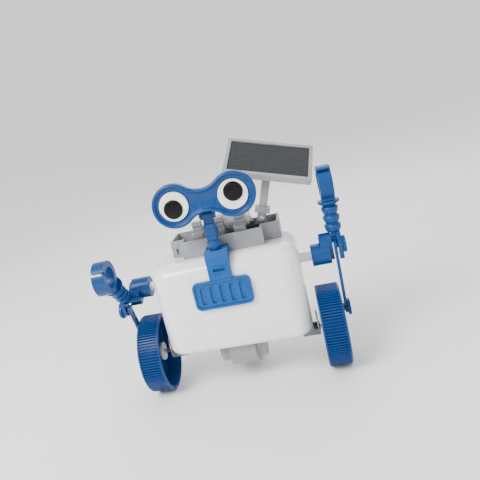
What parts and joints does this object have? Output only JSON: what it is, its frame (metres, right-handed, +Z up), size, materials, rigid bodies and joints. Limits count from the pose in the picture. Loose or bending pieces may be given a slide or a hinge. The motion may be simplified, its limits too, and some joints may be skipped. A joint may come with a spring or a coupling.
{
  "type": "solar robot kit",
  "caption": "Wheeled toy robot with swinging clip-claw arms, round-eyed head and a tilting solar panel that feeds a geared motor.",
  "frame": {"origin": "on the floor, under the middle of the bounding box", "axes": "+Z up, the robot faces -Y, +X is on the right when looking at its face"},
  "size_m": [0.1758, 0.0851, 0.1778],
  "materials": {
    "body_white": "gloss",
    "deck_grey": "satin",
    "arm_blue": "satin",
    "chest_blue": "satin",
    "wheel_blue": "satin",
    "hub_grey": "satin",
    "head_blue": "satin",
    "pin_white": "gloss",
    "eye_white": "gloss",
    "pupil_black": "gloss",
    "gear_white": "satin",
    "steel": "satin",
    "brass": "satin",
    "bush_black": "satin",
    "cell_dark": "gloss",
    "battery_label": "satin",
    "caster_black": "matte"
  },
  "bodies": {
    "chassis": {"front_shell": "body_white", "rear_shell": "body_white", "case_screws": "steel", "battery_box": "deck_grey", "battery_cell": "battery_label", "battery_contacts": "steel", "battery_door": "body_white", "chassis_base": "deck_grey", "axle_bushes": "bush_black", "bush_clips": "steel", "gear_housing": "deck_grey", "gear_plates": "deck_grey", "gear_pins": "steel", "motor_can": "steel", "motor_end_cap": "gear_white", "deck_tray": "deck_grey", "motor_cradle": "deck_grey", "switch_body": "bush_black", "shoulder_pins": "pin_white", "chest_grille": "chest_blue", "chest_strap": "chest_blue", "mast_socket": "deck_grey", "mast_pin": "steel", "caster_bracket": "deck_grey", "caster_pin": "steel"},
    "motor_rotor": {"motor_shaft": "steel", "motor_pinion": "brass"},
    "compound": {"compound_gear": "gear_white"},
    "idler_upper": {"upper_idler": "gear_white"},
    "idler_lower": {"lower_idler": "gear_white"},
    "drive": {"axle": "steel", "axle_gear": "gear_white", "wheel_left": "wheel_blue", "wheel_right": "wheel_blue", "wheel_hubs": "hub_grey", "wheel_screws": "steel"},
    "shoulder_l": {"shoulder_left": "arm_blue"},
    "shoulder_r": {"shoulder_right": "arm_blue"},
    "arm_l": {"forearm_left": "arm_blue", "claw_left": "arm_blue"},
    "arm_r": {"forearm_right": "arm_blue", "claw_right": "arm_blue"},
    "rod_l": {"connecting_rod_left": "arm_blue", "rod_rivets_left": "arm_blue"},
    "rod_r": {"connecting_rod_right": "arm_blue", "rod_rivets_right": "arm_blue"},
    "neck_turret": {"neck": "head_blue"},
    "head": {"head_frame": "head_blue", "head_back": "head_blue", "head_pin": "steel"},
    "eye_l": {"eye_left": "eye_white", "pupil_left": "pupil_black"},
    "eye_r": {"eye_right": "eye_white", "pupil_right": "pupil_black"},
    "mast": {"solar_mast": "deck_grey"},
    "panel": {"panel_frame": "hub_grey", "solar_cell": "cell_dark", "panel_pin": "steel"},
    "caster": {"caster_roller": "caster_black"},
    "switch": {"switch_knob": "bush_black"}
  },
  "joints": [
    {"name": "drive_spin", "type": "hinge", "parent": "chassis", "child": "drive", "pos_m": [0, 0.0035, 0.03], "axis": [1, 0, 0], "continuous": true},
    {"name": "lower_idler_spin", "type": "hinge", "parent": "chassis", "child": "idler_lower", "pos_m": [-0.0035, -0.0045, 0.0586], "axis": [1, 0, 0], "continuous": true},
    {"name": "upper_idler_spin", "type": "hinge", "parent": "chassis", "child": "idler_upper", "pos_m": [-0.0035, 0.0095, 0.08169], "axis": [1, 0, 0], "continuous": true},
    {"name": "compound_spin", "type": "hinge", "parent": "chassis", "child": "compound", "pos_m": [-0.006, 0.0125, 0.09944], "axis": [1, 0, 0], "continuous": true},
    {"name": "motor_spin", "type": "hinge", "parent": "chassis", "child": "motor_rotor", "pos_m": [0, 0.0185, 0.11641], "axis": [1, 0, 0], "continuous": true},
    {"name": "shoulder_left_swing", "type": "hinge", "parent": "chassis", "child": "shoulder_l", "pos_m": [-0.0685, 0.0076, 0.0835], "axis": [1, 0, 0], "range_deg": [-35, 35]},
    {"name": "elbow_left_swing", "type": "hinge", "parent": "shoulder_l", "child": "arm_l", "pos_m": [-0.0803, -0.00106, 0.0785], "axis": [1, 0, 0], "range_deg": [-18, 30]},
    {"name": "rod_left_swing", "type": "hinge", "parent": "arm_l", "child": "rod_l", "pos_m": [-0.0795, -0.00348, 0.07153], "axis": [1, 0, 0], "range_deg": [-45, 45]},
    {"name": "shoulder_right_swing", "type": "hinge", "parent": "chassis", "child": "shoulder_r", "pos_m": [0.0685, 0.0076, 0.0835], "axis": [1, 0, 0], "range_deg": [-40, 40]},
    {"name": "elbow_right_swing", "type": "hinge", "parent": "shoulder_r", "child": "arm_r", "pos_m": [0.0803, 0.00656, 0.09345], "axis": [1, 0, 0], "range_deg": [-40, 70]},
    {"name": "rod_right_swing", "type": "hinge", "parent": "arm_r", "child": "rod_r", "pos_m": [0.0795, -0.00015, 0.09034], "axis": [1, 0, 0], "range_deg": [-45, 45]},
    {"name": "neck_turn", "type": "hinge", "parent": "chassis", "child": "neck_turret", "pos_m": [-0.0012, -0.0165, 0.1085], "axis": [0, 0, 1], "range_deg": [-45, 22]},
    {"name": "head_tilt", "type": "hinge", "parent": "neck_turret", "child": "head", "pos_m": [-0.0012, -0.0165, 0.1335], "axis": [1, 0, 0], "range_deg": [-15, 15]},
    {"name": "eye_left_turn", "type": "hinge", "parent": "head", "child": "eye_l", "pos_m": [-0.0201, -0.0245, 0.1451], "axis": [0, 1, 0], "continuous": true},
    {"name": "eye_right_turn", "type": "hinge", "parent": "head", "child": "eye_r", "pos_m": [0.0201, -0.0245, 0.1451], "axis": [0, 1, 0], "continuous": true},
    {"name": "mast_lean", "type": "hinge", "parent": "chassis", "child": "mast", "pos_m": [0.032, 0.0175, 0.117], "axis": [0, 1, 0], "range_deg": [-42, 0]},
    {"name": "panel_tilt", "type": "hinge", "parent": "mast", "child": "panel", "pos_m": [0.04374, 0.0185, 0.15209], "axis": [0.9483, 0, -0.3173], "range_deg": [-50, 30]},
    {"name": "caster_spin", "type": "hinge", "parent": "chassis", "child": "caster", "pos_m": [0, 0.0365, 0.006], "axis": [1, 0, 0], "continuous": true},
    {"name": "switch_slide", "type": "slide", "parent": "chassis", "child": "switch", "axis": [1, 0, 0], "range_m": [0, 0.003]}
  ],
  "couplings": [
    {"joint": "lower_idler_spin", "follows": "drive_spin", "ratio": -1.2},
    {"joint": "upper_idler_spin", "follows": "drive_spin", "ratio": 1.2},
    {"joint": "compound_spin", "follows": "drive_spin", "ratio": -3.6},
    {"joint": "motor_spin", "follows": "drive_spin", "ratio": 10.8},
    {"joint": "rod_left_swing", "follows": "shoulder_left_swing", "ratio": -1},
    {"joint": "rod_right_swing", "follows": "shoulder_right_swing", "ratio": -1}
  ]
}
